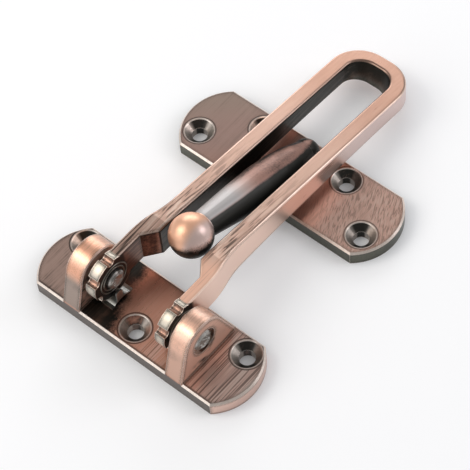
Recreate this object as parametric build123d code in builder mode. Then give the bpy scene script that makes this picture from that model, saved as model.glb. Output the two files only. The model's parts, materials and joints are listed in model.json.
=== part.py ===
from build123d import *
import os

os.makedirs("parts", exist_ok=True)

# Swing bar door guard, in millimetres, lying with the backs of both plates on z = 0.
# X runs along the plates, Y from the hinge base towards the tip of the bar, and +Z
# points away from the door. The origin is under the middle of the hinge base plate.

# Hinge base plate
base_corner_half_length = 36.0
base_end_bulge = 6.0
base_width = 26.6
base_thickness = 5.5

# Keeper plate, which is fixed to the other side of the door gap
keeper_centre_y = 69.4
keeper_corner_half_length = 35.6
keeper_end_bulge = 6.8
keeper_width = 27.8
keeper_thickness = 5.3

# Edges and screw holes, alike on both plates
plate_edge_chamfer = 0.6
screw_hole_diameter = 5.4
countersink_diameter = 10.0
countersink_angle = 90

# Places of the screw holes, in from the corners and long sides of each plate
base_outer_hole_from_corner = 2.6
base_outer_hole_from_far_side = 5.8
base_middle_hole_from_near_side = 6.6
keeper_outer_hole_from_corner = 1.7
keeper_outer_hole_from_near_side = 8.0
keeper_inner_hole_x = 17.2
keeper_inner_hole_from_far_side = 6.1

# Pivot of the bar, along X
pivot_y = -1.3
hub_plate_gap = 2.0

# Ears that stand on the hinge base plate
ear_inner_x = 17.7
ear_thickness = 7.1
ear_radius = 8.6
ear_far_foot_inset = 0.9
ear_edge_chamfer = 0.4
ear_boss_diameter = 8.4

# Pivot rivets, one through each ear and hub
rivet_shank_diameter = 4.8
rivet_outer_head_diameter = 7.2
rivet_outer_head_thickness = 1.0
rivet_inner_head_diameter = 6.9
rivet_inner_head_thickness = 1.1
rivet_head_chamfer = 0.35
rivet_recess_depth = 1.3
rivet_recess_clearance = 1.1
rivet_hole_clearance = 0.03
rivet_running_clearance = 0.05
rivet_end_clearance = 0.15

# Hubs of the bar, inside the ears
hub_radius = 8.5
hub_side_gap = 1.6
hub_boss_clearance = 0.3
hub_thickness = 3.9
notch_radius = 1.5
notch_count = 4
notch_first_angle = 90.0
notch_spread_angle = 180.0

# Arms and closed tip of the bar, with lengths from the pivot and heights from its level
bar_reach = 122.1
arm_width = 5.7
arm_rise = 8.0
arm_drop = 4.7
flare_half_length = 9.0
top_bend = 21.8
under_bend = 23.3
under_middle = 76.3
under_middle_drop = 7.2
tip_top_drop = 4.3
tip_under_drop = 12.0
tip_flat_half_width = 2.3
bar_top_edge_radius = 0.8
bar_under_edge_chamfer = 0.4

# Slot between the arms, and the wider mouth between the hubs
ball_slot_clearance = 0.9
slot_end_flat_half_width = 1.8
tip_wall_at_top = 5.0
tip_wall_at_underside = 8.7
throat = 18.5
shoulder = 13.3

# Ball of the keeper, which the slot of the closed bar goes over
ball_radius = 7.3
ball_past_throat = 5.0
ball_rise = 7.0

# Post of the keeper, a round horn that swells from its neck at the ball to its belly and
# narrows to a blunt tail sunk in the plate, with lengths along its axis from the ball
post_axis_above_ball = 1.0
post_neck_length = 5.0
post_neck_radius = 4.6
post_shank_length = 21.5
post_shank_radius = 6.0
post_belly_start = 33.0
post_belly_end = 42.0
post_belly_side_clearance = 1.5
post_haunch_length = 50.0
post_haunch_radius = 5.9
post_tail_start = 57.0
post_tail_radius = 4.5
post_tip_past_centre = 12.6
post_tip_sink = 0.8

# Leaf springs that bear up towards the notches of the hubs
leaf_thickness = 0.5
leaf_foot_length = 1.2
leaf_half_span = 3.6
leaf_hub_clearance = 0.3
leaf_outer_inset = 1.2
leaf_head_clearance = 0.4
leaf_tab_width = 2.8
leaf_tab_corner_radius = 0.9
leaf_tab_before_pivot = 0.7
leaf_tab_below_pivot = 5.0

# How squarely a face looks up or down to count as a top or under face, and how near an
# edge lies to a bend to count as the bend itself
facing_share = 0.9
bend_reach = 0.01

# Heights and lengths worked out from the sizes above
pivot_z = base_thickness + hub_plate_gap + hub_radius
ear_near_foot_y = -base_width / 2
ear_far_foot_y = base_width / 2 - ear_far_foot_inset
arm_top_z = pivot_z + arm_rise
arm_under_z = pivot_z - arm_drop
tip_y = pivot_y + bar_reach
tip_top_z = pivot_z - tip_top_drop
tip_under_z = pivot_z - tip_under_drop
top_bend_y = pivot_y + top_bend
under_bend_y = pivot_y + under_bend
throat_y = pivot_y + throat
shoulder_y = pivot_y + shoulder
ball_centre_y = throat_y + ball_past_throat
ball_centre_z = pivot_z + ball_rise

# Places across the bar and through its hubs, ears and rivets
slot_half_width = ball_radius + ball_slot_clearance
arm_outer_x = slot_half_width + arm_width
hub_outer_x = ear_inner_x - hub_side_gap
hub_inner_x = hub_outer_x - hub_thickness
ear_outer_x = ear_inner_x + ear_thickness
recess_floor_x = ear_outer_x - rivet_recess_depth
recess_diameter = rivet_outer_head_diameter + 2 * rivet_recess_clearance
rivet_inner_head_x = hub_inner_x - rivet_end_clearance
ear_hole_diameter = rivet_shank_diameter + 2 * rivet_hole_clearance
hub_bore_diameter = rivet_shank_diameter + 2 * rivet_running_clearance


def plate_outline(corner_half_length, width, end_bulge):
    """Outline of a plate: straight long sides and shallow arcs at the two ends."""
    half_width = width / 2
    apex = corner_half_length + end_bulge
    with BuildSketch() as outline:
        with BuildLine():
            Line((-corner_half_length, -half_width), (corner_half_length, -half_width))
            ThreePointArc(
                (corner_half_length, -half_width), (apex, 0), (corner_half_length, half_width)
            )
            Line((corner_half_length, half_width), (-corner_half_length, half_width))
            ThreePointArc(
                (-corner_half_length, half_width), (-apex, 0), (-corner_half_length, -half_width)
            )
        make_face()
    return outline.sketch


# Ear on the +X side of the hinge base. It rises from nearly the whole width of the plate
# to a round top about the pivot.
with BuildPart() as ear:
    with BuildSketch(Plane.YZ.offset(ear_inner_x)):
        with Locations((pivot_y, pivot_z)):
            Circle(ear_radius)
        with Locations(((ear_near_foot_y + ear_far_foot_y) / 2, base_thickness / 2)):
            Rectangle(ear_far_foot_y - ear_near_foot_y, base_thickness)
        make_hull()
    extrude(amount=ear_thickness)
    ear_rims = ear.faces().filter_by(Axis.X).edges()
    chamfer(ear_rims.filter_by(lambda edge: edge.center().Z > base_thickness), length=ear_edge_chamfer)

    # A low boss on the inner face keeps the hub off the ear.
    with BuildSketch(Plane.YZ.offset(ear_inner_x)):
        with Locations((pivot_y, pivot_z)):
            Circle(ear_boss_diameter / 2)
    extrude(amount=-(hub_side_gap - hub_boss_clearance))

    # Round recess in the outer face for the rivet's head, and the rivet's hole.
    with BuildSketch(Plane.YZ.offset(recess_floor_x)):
        with Locations((pivot_y, pivot_z)):
            Circle(recess_diameter / 2)
    extrude(amount=rivet_recess_depth, mode=Mode.SUBTRACT)
    with BuildSketch(Plane.YZ.offset(hub_outer_x)):
        with Locations((pivot_y, pivot_z)):
            Circle(ear_hole_diameter / 2)
    extrude(amount=ear_outer_x - hub_outer_x, mode=Mode.SUBTRACT)

# Hinge base: a plate with two ears, cast in one piece.
base_outer_hole_x = base_corner_half_length - base_outer_hole_from_corner
base_outer_hole_y = base_width / 2 - base_outer_hole_from_far_side
base_middle_hole_y = base_middle_hole_from_near_side - base_width / 2
with BuildPart() as hinge_base:
    with BuildSketch():
        add(plate_outline(base_corner_half_length, base_width, base_end_bulge))
    extrude(amount=base_thickness)
    chamfer(hinge_base.edges().group_by(Axis.Z)[-1], length=plate_edge_chamfer)
    add(ear.part)
    mirror(ear.part, about=Plane.YZ)

    with Locations(
        (0, base_middle_hole_y, base_thickness),
        (base_outer_hole_x, base_outer_hole_y, base_thickness),
        (-base_outer_hole_x, base_outer_hole_y, base_thickness),
    ):
        CounterSinkHole(
            radius=screw_hole_diameter / 2,
            counter_sink_radius=countersink_diameter / 2,
            depth=base_thickness,
            counter_sink_angle=countersink_angle,
        )

# Swing bar: a closed loop on two notched hubs, cast in one piece.
with BuildPart() as swing_bar:
    # Seen from the side the arms are deep at the hubs and slim down towards the tip.
    with BuildSketch(Plane.YZ.offset(-hub_outer_x)):
        with BuildLine():
            Polyline(
                (under_bend_y, arm_under_z),
                (pivot_y, arm_under_z),
                (pivot_y, arm_top_z),
                (top_bend_y, arm_top_z),
                (tip_y, tip_top_z),
                (tip_y, tip_under_z),
            )
            ThreePointArc(
                (tip_y, tip_under_z),
                (pivot_y + under_middle, pivot_z - under_middle_drop),
                (under_bend_y, arm_under_z),
            )
        make_face()
    extrude(amount=2 * hub_outer_x)

    # Seen from above the arms close in from the hubs and meet in a round tip.
    with BuildSketch() as bar_outline:
        with BuildLine():
            flare_start = (hub_outer_x, top_bend_y - flare_half_length)
            flare_middle = ((hub_outer_x + arm_outer_x) / 2, top_bend_y)
            flare_end = (arm_outer_x, top_bend_y + flare_half_length)
            flare_bend = TangentArc(flare_start, flare_middle, tangent=(0, 1))
            TangentArc(flare_middle, flare_end, tangent=flare_bend % 1)
            Polyline(
                flare_end,
                (arm_outer_x, tip_y),
                (0, tip_y),
                (0, pivot_y),
                (hub_outer_x, pivot_y),
                flare_start,
            )
        make_face()
        tip_corner = bar_outline.vertices().group_by(Axis.Y)[-1].sort_by(Axis.X)[-1]
        fillet(tip_corner, radius=arm_outer_x - tip_flat_half_width)
        mirror(about=Plane.YZ)
    extrude(amount=arm_top_z, mode=Mode.INTERSECT)

    # The slot's side walls are upright, and its end wall leans in towards the underside.
    end_wall_lean = (tip_wall_at_underside - tip_wall_at_top) / (tip_top_z - tip_under_z)
    slot_end_y = tip_y - tip_wall_at_top - end_wall_lean * tip_top_z
    with BuildSketch() as slot_outline:
        with Locations((0, (slot_end_y + pivot_y) / 2)):
            Rectangle(2 * slot_half_width, slot_end_y - pivot_y)
        slot_corners = slot_outline.vertices().group_by(Axis.Y)[-1]
        fillet(slot_corners, radius=slot_half_width - slot_end_flat_half_width)
    slanted_depth = arm_top_z * (1 + end_wall_lean**2) ** 0.5
    extrude(amount=slanted_depth, dir=(0, end_wall_lean, 1), mode=Mode.SUBTRACT)

    # Behind the slot the walls step out to the inner faces of the hubs.
    with BuildSketch():
        with BuildLine():
            Polyline(
                (slot_half_width, throat_y),
                (hub_inner_x, shoulder_y),
                (hub_inner_x, pivot_y),
                (-hub_inner_x, pivot_y),
                (-hub_inner_x, shoulder_y),
                (-slot_half_width, throat_y),
                close=True,
            )
        make_face()
    extrude(amount=arm_top_z, mode=Mode.SUBTRACT)

    top_edges = swing_bar.faces().filter_by(lambda face: face.normal_at().Z > facing_share).edges()
    fillet(
        top_edges.filter_by(
            lambda edge: edge.center().Y > pivot_y and abs(edge.center().Y - top_bend_y) > bend_reach
        ),
        radius=bar_top_edge_radius,
    )
    under_edges = swing_bar.faces().filter_by(lambda face: face.normal_at().Z < -facing_share).edges()
    chamfer(
        under_edges.filter_by(
            lambda edge: edge.center().Y > pivot_y and abs(edge.center().Y - under_bend_y) > bend_reach
        ),
        length=bar_under_edge_chamfer,
    )

    # A hub at the end of each arm, with notches in its rim and a bore for its rivet.
    for hub_start_x in (-hub_outer_x, hub_inner_x):
        with BuildSketch(Plane.YZ.offset(hub_start_x)):
            with Locations((pivot_y, pivot_z)):
                Circle(hub_radius)
        extrude(amount=hub_thickness)
    with BuildSketch(Plane.YZ.offset(-hub_outer_x)):
        with Locations((pivot_y, pivot_z)):
            Circle(hub_bore_diameter / 2)
            with PolarLocations(
                hub_radius,
                notch_count,
                start_angle=notch_first_angle,
                angular_range=notch_spread_angle,
                endpoint=True,
            ):
                Circle(notch_radius)
    extrude(amount=2 * hub_outer_x, mode=Mode.SUBTRACT)

# Keeper: a plate with a horn-shaped post that reaches over its near edge to a ball.
keeper_outer_hole_x = keeper_corner_half_length - keeper_outer_hole_from_corner
keeper_outer_hole_y = keeper_centre_y - keeper_width / 2 + keeper_outer_hole_from_near_side
keeper_inner_hole_y = keeper_centre_y + keeper_width / 2 - keeper_inner_hole_from_far_side
post_start = Vector(0, ball_centre_y, ball_centre_z + post_axis_above_ball)
post_tip = Vector(0, keeper_centre_y + post_tip_past_centre, keeper_thickness - post_tip_sink)
post_length = (post_tip - post_start).length
post_belly_radius = slot_half_width - post_belly_side_clearance
post_tail_length = post_length - post_tail_start
post_tail_round = (post_tail_radius**2 + post_tail_length**2) / (2 * post_tail_length)
with BuildPart() as post:
    with BuildSketch(Plane(origin=post_start, x_dir=post_tip - post_start, z_dir=(1, 0, 0))):
        with BuildLine():
            Polyline(
                (post_length, 0),
                (0, 0),
                (0, post_neck_radius),
                (post_neck_length, post_neck_radius),
                (post_shank_length, post_shank_radius),
                (post_belly_start, post_belly_radius),
                (post_belly_end, post_belly_radius),
                (post_haunch_length, post_haunch_radius),
                (post_tail_start, post_tail_radius),
            )
            RadiusArc((post_tail_start, post_tail_radius), (post_length, 0), post_tail_round)
        make_face()
    revolve(axis=Axis(post_start, post_tip - post_start))
with BuildPart() as keeper:
    with BuildSketch(Plane(origin=(0, keeper_centre_y, 0))):
        add(plate_outline(keeper_corner_half_length, keeper_width, keeper_end_bulge))
    extrude(amount=keeper_thickness)
    chamfer(keeper.edges().group_by(Axis.Z)[-1], length=plate_edge_chamfer)

    add(post.part)
    with Locations((0, ball_centre_y, ball_centre_z)):
        Sphere(ball_radius)

    with Locations(
        (keeper_outer_hole_x, keeper_outer_hole_y, keeper_thickness),
        (-keeper_outer_hole_x, keeper_outer_hole_y, keeper_thickness),
        (keeper_inner_hole_x, keeper_inner_hole_y, keeper_thickness),
        (-keeper_inner_hole_x, keeper_inner_hole_y, keeper_thickness),
    ):
        CounterSinkHole(
            radius=screw_hole_diameter / 2,
            counter_sink_radius=countersink_diameter / 2,
            depth=keeper_thickness,
            counter_sink_angle=countersink_angle,
        )

# Pivot rivet on the +X side: a shank with a round head at each end.
with BuildPart() as pivot_rivet_right:
    for start_x, end_x, diameter in (
        (rivet_inner_head_x - rivet_inner_head_thickness, rivet_inner_head_x, rivet_inner_head_diameter),
        (rivet_inner_head_x, recess_floor_x, rivet_shank_diameter),
        (recess_floor_x, recess_floor_x + rivet_outer_head_thickness, rivet_outer_head_diameter),
    ):
        with BuildSketch(Plane.YZ.offset(start_x)):
            with Locations((pivot_y, pivot_z)):
                Circle(diameter / 2)
        extrude(amount=end_x - start_x)
    rivet_rims = pivot_rivet_right.edges().filter_by(GeomType.CIRCLE).sort_by(Axis.X)
    chamfer([rivet_rims[0], rivet_rims[-1]], length=rivet_head_chamfer)
with BuildPart() as pivot_rivet_left:
    mirror(pivot_rivet_right.part, about=Plane.YZ)

# Leaf spring on the +X side: flat feet on the plate, an arch under the hub's rim, and a
# tab that stands up inboard of the rivet's head.
leaf_arch_start_y = pivot_y - leaf_half_span
leaf_arch_end_y = pivot_y + leaf_half_span
leaf_start_y = leaf_arch_start_y - leaf_foot_length
leaf_end_y = leaf_arch_end_y + leaf_foot_length
leaf_crown_under_z = pivot_z - hub_radius - leaf_hub_clearance - leaf_thickness
leaf_tab_height = pivot_z - leaf_tab_below_pivot - leaf_crown_under_z
leaf_inner_x = rivet_inner_head_x - rivet_inner_head_thickness - leaf_head_clearance - leaf_thickness
leaf_outer_x = hub_outer_x - leaf_outer_inset
with BuildPart() as detent_spring_right:
    with BuildSketch(Plane.YZ.offset(leaf_inner_x)):
        with BuildLine():
            for side_rise in (0, leaf_thickness):
                foot_z = base_thickness + side_rise
                Line((leaf_start_y, foot_z), (leaf_arch_start_y, foot_z))
                ThreePointArc(
                    (leaf_arch_start_y, foot_z),
                    (pivot_y, leaf_crown_under_z + side_rise),
                    (leaf_arch_end_y, foot_z),
                )
                Line((leaf_arch_end_y, foot_z), (leaf_end_y, foot_z))
            for end_y in (leaf_start_y, leaf_end_y):
                Line((end_y, base_thickness), (end_y, base_thickness + leaf_thickness))
        make_face()
    extrude(amount=leaf_outer_x - leaf_inner_x)
    with BuildSketch(Plane.YZ.offset(leaf_inner_x)) as tab_outline:
        with Locations((pivot_y - leaf_tab_before_pivot, leaf_crown_under_z + leaf_tab_height / 2)):
            Rectangle(leaf_tab_width, leaf_tab_height)
        fillet(tab_outline.vertices().group_by(Axis.Y)[-1], radius=leaf_tab_corner_radius)
    extrude(amount=leaf_thickness)
with BuildPart() as detent_spring_left:
    mirror(detent_spring_right.part, about=Plane.YZ)

for name, piece in (
    ("hinge_base", hinge_base),
    ("pivot_rivet_left", pivot_rivet_left),
    ("pivot_rivet_right", pivot_rivet_right),
    ("detent_spring_left", detent_spring_left),
    ("detent_spring_right", detent_spring_right),
    ("keeper", keeper),
    ("swing_bar", swing_bar),
):
    piece.part.label = name
    export_step(piece.part, f"parts/{name}.step")
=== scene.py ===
"""Swing bar door guard in an antique red copper finish, lying shut on a pale floor.

Sizes are in millimetres, except where a comment or docstring says metres.
"""

import json
import logging
import math
from dataclasses import dataclass, field
from enum import Enum
from typing import Union

import bpy
from mathutils import Matrix, Vector


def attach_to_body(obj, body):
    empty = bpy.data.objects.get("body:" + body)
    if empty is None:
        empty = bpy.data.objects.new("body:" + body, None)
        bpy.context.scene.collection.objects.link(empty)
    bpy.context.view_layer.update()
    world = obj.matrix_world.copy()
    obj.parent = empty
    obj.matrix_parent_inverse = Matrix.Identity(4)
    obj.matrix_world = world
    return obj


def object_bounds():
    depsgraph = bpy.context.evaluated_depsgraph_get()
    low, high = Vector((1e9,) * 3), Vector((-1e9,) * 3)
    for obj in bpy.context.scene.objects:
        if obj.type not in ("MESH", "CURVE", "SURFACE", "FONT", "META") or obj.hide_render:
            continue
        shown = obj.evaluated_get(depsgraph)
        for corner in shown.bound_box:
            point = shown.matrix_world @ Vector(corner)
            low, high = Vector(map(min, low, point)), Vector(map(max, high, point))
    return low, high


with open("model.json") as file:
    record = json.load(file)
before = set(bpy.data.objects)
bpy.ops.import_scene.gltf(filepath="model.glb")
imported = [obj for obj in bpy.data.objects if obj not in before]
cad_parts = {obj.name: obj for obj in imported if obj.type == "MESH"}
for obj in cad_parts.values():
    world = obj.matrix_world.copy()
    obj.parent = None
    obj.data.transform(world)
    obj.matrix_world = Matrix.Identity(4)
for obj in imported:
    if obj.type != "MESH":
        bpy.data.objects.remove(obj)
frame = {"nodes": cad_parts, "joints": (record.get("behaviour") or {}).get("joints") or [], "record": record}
CAD_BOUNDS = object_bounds()

LOG = logging.getLogger("door_guard")
MM = 0.001
BEVEL_SAMPLES = 6
OPENNESS_SAMPLES = 8

Colour = tuple[float, float, float]
Point = tuple[float, float, float]
Spot = tuple[float, float]  # a place along two axes
Span = tuple[float, float]  # the values at which a mask is 0 and is 1
Hue = Union[bpy.types.NodeSocket, Colour]

EDGE_LIKENESS: Span = (0.995, 0.90)
WALL_FACING: Span = (0.5, 0.2)
UPWARD_FACING: Span = (0.45, 0.85)
ARRIS_FACING: tuple[Span, Span] = ((0.30, 0.55), (0.97, 0.88))
SIDEWAYS_FACING: Span = (0.5, 0.8)
RING_WIDTHS: Span = (0.32, 0.12)
PLATE_FADE: Span = (0.6, 0.1)
COUNTERSINK_FADE: Span = (0.15, -0.35)
PIVOT_Y, PIVOT_Z = (place / MM for place in frame["joints"][0]["pos_m"][1:])


class Body(Enum):
    """Moving bodies of the guard."""

    BASE = "base"
    BAR = "bar"


class Slot(Enum):
    """Material slots of the record; no piece of this script uses them."""

    COPPER = "copper_casting"
    RIVET = "rivet_steel"


class Side(Enum):
    """The two mirrored halves of the guard, each with the sign of its X."""

    LEFT = -1
    RIGHT = 1


def grey(level: float) -> Colour:
    """A neutral colour of that level."""
    return (level, level, level)


def screw_place(mount: str) -> Spot:
    """Where a screw of one of the record's mounts sits.

    Args:
        mount: the mount's name.

    Returns:
        Its X, of which both signs count, and its Y.
    """
    found = next(m for m in frame["record"]["mounts"] if m["name"] == mount)
    return (found["dims"].get("spacing_x_mm", 0.0) / 2, found["pos_m"][1] / MM)


def add_node(
    tree: bpy.types.NodeTree, kind: str, settings: dict | None = None, inputs: dict | None = None
) -> bpy.types.Node:
    """Makes one node of any tree.

    Args:
        tree: the tree that it joins.
        kind: the node's type.
        settings: the node's own settings, set before its sockets.
        inputs: values, signals, sockets or lists of sockets, by input name or number.

    Returns:
        The new node.
    """
    made = tree.nodes.new(kind)
    for key, value in (settings or {}).items():
        setattr(made, key, value)
    for key, value in (inputs or {}).items():
        socket = made.inputs[key]
        for source in value if isinstance(value, list) else [value]:
            if isinstance(source, Signal):
                source = source.socket
            if isinstance(source, bpy.types.NodeSocket):
                tree.links.new(source, socket)
            elif socket.type == "RGBA":
                socket.default_value = (*source, 1.0)
            else:
                socket.default_value = source
    return made


# Shader expressions


class Signal:
    """A value on its way through a material: arithmetic on it adds Math nodes."""

    def __init__(self, graph: "ShaderGraph", socket: bpy.types.NodeSocket) -> None:
        """Wraps one output socket.

        Args:
            graph: the material's node graph.
            socket: the output that carries the value.
        """
        self.graph = graph
        self.socket = socket

    def __add__(self, other: "Signal | float") -> "Signal":
        """Sum."""
        return self.graph.math("ADD", self, other)

    def __radd__(self, other: float) -> "Signal":
        """Sum with a plain number on the left."""
        return self.graph.math("ADD", other, self)

    def __sub__(self, other: "Signal | float") -> "Signal":
        """Difference."""
        return self.graph.math("SUBTRACT", self, other)

    def __rsub__(self, other: float) -> "Signal":
        """Difference from a plain number."""
        return self.graph.math("SUBTRACT", other, self)

    def __mul__(self, other: "Signal | float") -> "Signal":
        """Product."""
        return self.graph.math("MULTIPLY", self, other)

    def __rmul__(self, other: float) -> "Signal":
        """Product with a plain number on the left."""
        return self.graph.math("MULTIPLY", other, self)

    def __truediv__(self, other: "Signal | float") -> "Signal":
        """Quotient."""
        return self.graph.math("DIVIDE", self, other)

    def __abs__(self) -> "Signal":
        """Size without sign."""
        return self.graph.math("ABSOLUTE", self)

    def __or__(self, other: "Signal") -> "Signal":
        """The larger of the two, which joins two masks."""
        return self.graph.math("MAXIMUM", self, other)

    def clamped(self) -> "Signal":
        """The value held between 0 and 1."""
        return self.graph.math("MINIMUM", self.graph.math("MAXIMUM", self, 0.0), 1.0)

    def swing(self) -> "Signal":
        """How far a noise is above or below its middle of 0.5."""
        return self - 0.5

    def step_at(self, edge: float, fade: Span) -> "Signal":
        """A smooth step beside an edge.

        Args:
            edge: value at the edge.
            fade: how far above the edge the step is 0, and how far above it 1.

        Returns:
            The step, from 0 to 1.
        """
        return self.ramp(edge + fade[0], edge + fade[1])

    def ramp(self, low: float, high: float) -> "Signal":
        """A smooth step of the value.

        Args:
            low: value at which the step is 0.
            high: value at which the step is 1; below low the step is turned round.

        Returns:
            The step, from 0 to 1.
        """
        node = self.graph.node(
            "ShaderNodeMapRange",
            {"interpolation_type": "SMOOTHSTEP"},
            {"Value": self, "From Min": low, "From Max": high},
        )
        return Signal(self.graph, node.outputs["Result"])


@dataclass(frozen=True)
class Texture:
    """A noise that lies still on a piece.

    Its scale is in waves for each metre along X, Y and Z, and a smaller one stretches it
    along that axis. The shift is in the noise's own units, the turn in radians about Z.
    """

    scale: Point
    detail: float = 3.0
    roughness: float = 0.55
    shift: Point = (0.0, 0.0, 0.0)
    turn: float = 0.0


class ShaderGraph:
    """The node tree of one material."""

    def __init__(self, name: str) -> None:
        """Starts an empty material.

        Args:
            name: the material's name.
        """
        self.material = bpy.data.materials.new(name)
        self.material.use_nodes = True
        self.tree = self.material.node_tree
        self.tree.nodes.clear()
        self.coordinates = self.node("ShaderNodeTexCoord")

    def node(self, kind: str, settings: dict | None = None, inputs: dict | None = None) -> bpy.types.Node:
        """Makes one node of this graph, with the arguments of add_node."""
        return add_node(self.tree, kind, settings, inputs)

    def math(self, operation: str, *values: "Signal | float") -> Signal:
        """One Math node.

        Args:
            operation: the node's operation.
            values: its inputs in order.

        Returns:
            The result.
        """
        made = self.node("ShaderNodeMath", {"operation": operation}, dict(enumerate(values)))
        return Signal(self, made.outputs[0])

    def axes(self, output: str) -> tuple[Signal, Signal, Signal]:
        """The three numbers of an output of Texture Coordinate, such as Object or Normal."""
        parts = self.node("ShaderNodeSeparateXYZ", inputs={0: self.coordinates.outputs[output]})
        return tuple(Signal(self, socket) for socket in parts.outputs)

    def noise(self, texture: Texture) -> Signal:
        """Noise over the piece.

        Args:
            texture: its scale and character.

        Returns:
            The noise, about 0 to 1 around 0.5.
        """
        turned = self.node(
            "ShaderNodeMapping",
            {"vector_type": "POINT"},
            {"Vector": self.coordinates.outputs["Object"], "Rotation": (0.0, 0.0, -texture.turn)},
        )
        mapped = self.node(
            "ShaderNodeMapping",
            {"vector_type": "POINT"},
            {"Vector": turned.outputs[0], "Scale": texture.scale, "Location": texture.shift},
        )
        made = self.node(
            "ShaderNodeTexNoise",
            inputs={
                "Vector": mapped.outputs[0],
                "Scale": 1.0,
                "Detail": texture.detail,
                "Roughness": texture.roughness,
            },
        )
        return Signal(self, made.outputs[0])

    def mix(self, share: "Signal | float", first: Hue, second: Hue) -> bpy.types.NodeSocket:
        """A blend of two colours.

        Args:
            share: how much of the second shows.
            first: colour at 0.
            second: colour at 1.

        Returns:
            The blended colour.
        """
        made = self.node(
            "ShaderNodeMix",
            {"data_type": "RGBA", "clamp_factor": True},
            {0: share, 6: first, 7: second},
        )
        return made.outputs[2]

    def edge(self, radius: float) -> Signal:
        """How near the surface is to a sharp edge of its own piece, from 0 to 1.

        Args:
            radius: reach in metres.

        Returns:
            The nearness.
        """
        rounded = self.node("ShaderNodeBevel", {"samples": BEVEL_SAMPLES}, {"Radius": radius})
        flat = self.node("ShaderNodeNewGeometry")
        likeness = self.node(
            "ShaderNodeVectorMath",
            {"operation": "DOT_PRODUCT"},
            {0: rounded.outputs[0], 1: flat.outputs["Normal"]},
        )
        return Signal(self, likeness.outputs["Value"]).ramp(*EDGE_LIKENESS)

    def openness(self, reach: float, own_piece_only: bool = True) -> Signal:
        """How open the surface is to its surroundings, 1 where nothing is near.

        Args:
            reach: distance in metres that counts as near.
            own_piece_only: whether other pieces don't count.

        Returns:
            The openness.
        """
        made = self.node(
            "ShaderNodeAmbientOcclusion",
            {"samples": OPENNESS_SAMPLES, "only_local": own_piece_only},
            {"Distance": reach},
        )
        return Signal(self, made.outputs["AO"])

    def bump(self, height: Signal, depth: float) -> bpy.types.NodeSocket:
        """A Bump node.

        Args:
            height: the relief, from 0 to 1.
            depth: its depth in metres.

        Returns:
            The new normal.
        """
        inputs = {"Height": height, "Distance": depth, "Strength": 1.0}
        return self.node("ShaderNodeBump", inputs=inputs).outputs[0]

    def finish(self, **inputs: object) -> bpy.types.Material:
        """Ends the graph in a Principled shader.

        Args:
            inputs: values by the shader's input names, with _ for a space.

        Returns:
            The material.
        """
        named = {key.replace("_", " "): value for key, value in inputs.items()}
        shader = self.node("ShaderNodeBsdfPrincipled", inputs=named)
        self.node("ShaderNodeOutputMaterial", inputs={"Surface": shader.outputs[0]})
        return self.material


# Finishes


def brush_lines(across: float, along: float = 32.0, turn: float = 0.0) -> Texture:
    """The thin lines that a coarse brush leaves.

    Args:
        across: waves for each metre across the lines.
        along: waves for each metre along them.
        turn: angle in radians by which they are turned from Y.

    Returns:
        Their texture.
    """
    depth = across * 0.8
    return Texture((across, along, depth), detail=1.0, roughness=0.5, shift=(7.7, 2.1, 4.4), turn=turn)


@dataclass(frozen=True)
class AntiqueCopper:
    """Copper plating, darkened and then brushed back to bare copper where a brush reaches.

    The textures are its brush marks, stains and grain. A span says over which values of
    the brushed state, of a texture or of the openness an effect sets in, and a strength
    how much of it shows at most.
    """

    name: str
    bright: Colour = (0.80, 0.53, 0.41)
    copper: Colour = (0.60, 0.34, 0.25)
    brown: Colour = (0.20, 0.12, 0.095)
    patina: Colour = (0.030, 0.029, 0.025)
    # Light metal on the edges: wear, and painted highlights along edges and rims.
    wear_and_highlight: Colour = (0.94, 0.84, 0.76)
    fine: Texture = Texture((2300.0, 50.0, 1610.0), 4.0, 0.65, (3.1, 1.7, 0.4))
    coarse: Texture = Texture((805.0, 25.0, 500.0), 2.0)
    blotches: Texture = Texture((120.0, 75.0, 120.0), 3.0, 0.6, (5.2, 0.3, 2.2))
    grain: Texture = Texture((1700.0, 1700.0, 1700.0), 2.0, 0.6)
    lines: Texture = brush_lines(1300.0)
    streak_shares: tuple[float, float] = (0.95, 0.45)
    bare_by_streak: float = 0.6
    bare_by_blotches: float = 0.5
    copper_from: Span = (0.18, 0.60)
    bright_from: Span = (0.55, 1.25)
    tint_from: Span = (0.0, 0.6)
    plating_from: Span = (0.0, 0.32)
    cluster_blotches: Span = (0.28, 0.48)
    light_lines: Span = (0.46, 0.39)
    light_line_strength: float = 0.45
    dark_lines: Span = (0.54, 0.60)
    ink_strength: float = 0.85
    recess_reach: float = 4.0
    recess_openness: Span = (0.78, 0.25)
    recess_strength: float = 0.85
    # Edges painted light: wear, and a painted highlight.
    wear_and_highlight_reach: float = 0.55
    wear_and_highlight_openness: Span = (0.2, 0.6)
    wear_and_highlight_strength: float = 0.8
    outline_reach: float = 2.0
    outline_nearness: Span = (0.0, 0.14)
    raggedness: tuple[float, float] = (5.0, 3.0)
    # Painted reflection in the countersinks: cone faces turned towards this direction are painted bright.
    painted_glint_direction: Point = (0.77, 0.64, 0.0)
    painted_glint_facing: Span = (0.34, 0.60)
    relief_depth: float = 0.016
    metallic: float = 0.95
    metallic_loss: float = 0.22
    roughness: float = 0.29
    coat: float = 0.12
    coat_roughness: float = 0.22

    def start(self) -> "CopperSurface":
        """Starts the finish's graph with what every copper piece needs."""
        return CopperSurface(self)


@dataclass(frozen=True)
class Zone:
    """One part of a casting's surface, and what its finish adds there.

    The colour is laid over those of the zones before it, as far as the mask goes, and
    shown says how far the tinted surface shows. The other numbers are added to what the
    whole surface has, in full where the mask is 1, and each may vary over the surface.
    """

    mask: Signal
    colour: "Hue | None" = None
    shown: "Signal | float" = 0.0
    rubbed: "Signal | float" = 0.0
    streaks: "Signal | float" = 0.0
    lined: "Signal | float" = 0.0
    satin: "Signal | float" = 0.0


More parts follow.
